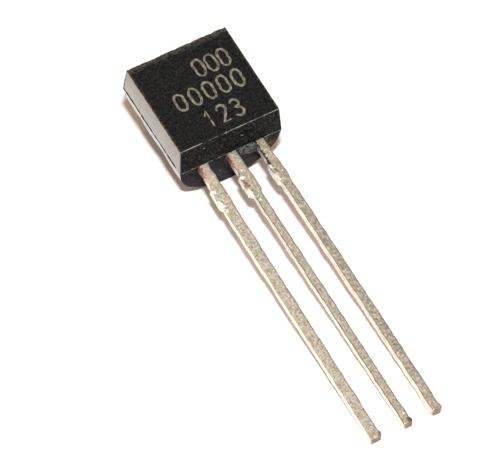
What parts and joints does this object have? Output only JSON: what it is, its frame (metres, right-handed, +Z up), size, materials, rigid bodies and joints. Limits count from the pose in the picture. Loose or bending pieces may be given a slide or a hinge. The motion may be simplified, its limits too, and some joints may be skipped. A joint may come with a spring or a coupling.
{
  "type": "to-92 transistor",
  "caption": "Small signal transistor in a black moulded case with a flat front and a round back, with three straight leads for soldering into a circuit board.",
  "frame": {"origin": "on the surface that the device lies on, under the middle of its overall box", "axes": "+X across the leads from emitter to base, +Y along the device towards the top of the case, +Z up; the device lies on its round back and its lead tips, so its flat front faces up and leans 7.6 degrees towards the leads"},
  "size_m": [0.0046, 0.0188, 0.0041],
  "materials": {
    "black_epoxy": "matt moulded epoxy with a fine grain",
    "tinned_lead": "dull hot-dipped tin over copper alloy, slightly yellowed",
    "silicon": "polished silicon",
    "die_solder": "solder",
    "bond_wire": "drawn wire"
  },
  "bodies": {
    "root": {"epoxy_case": "black_epoxy", "emitter_lead": "tinned_lead", "collector_lead": "tinned_lead", "base_lead": "tinned_lead", "silicon_die": "silicon", "die_solder": "die_solder", "emitter_bond_wire": "bond_wire", "base_bond_wire": "bond_wire"}
  },
  "joints": []
}
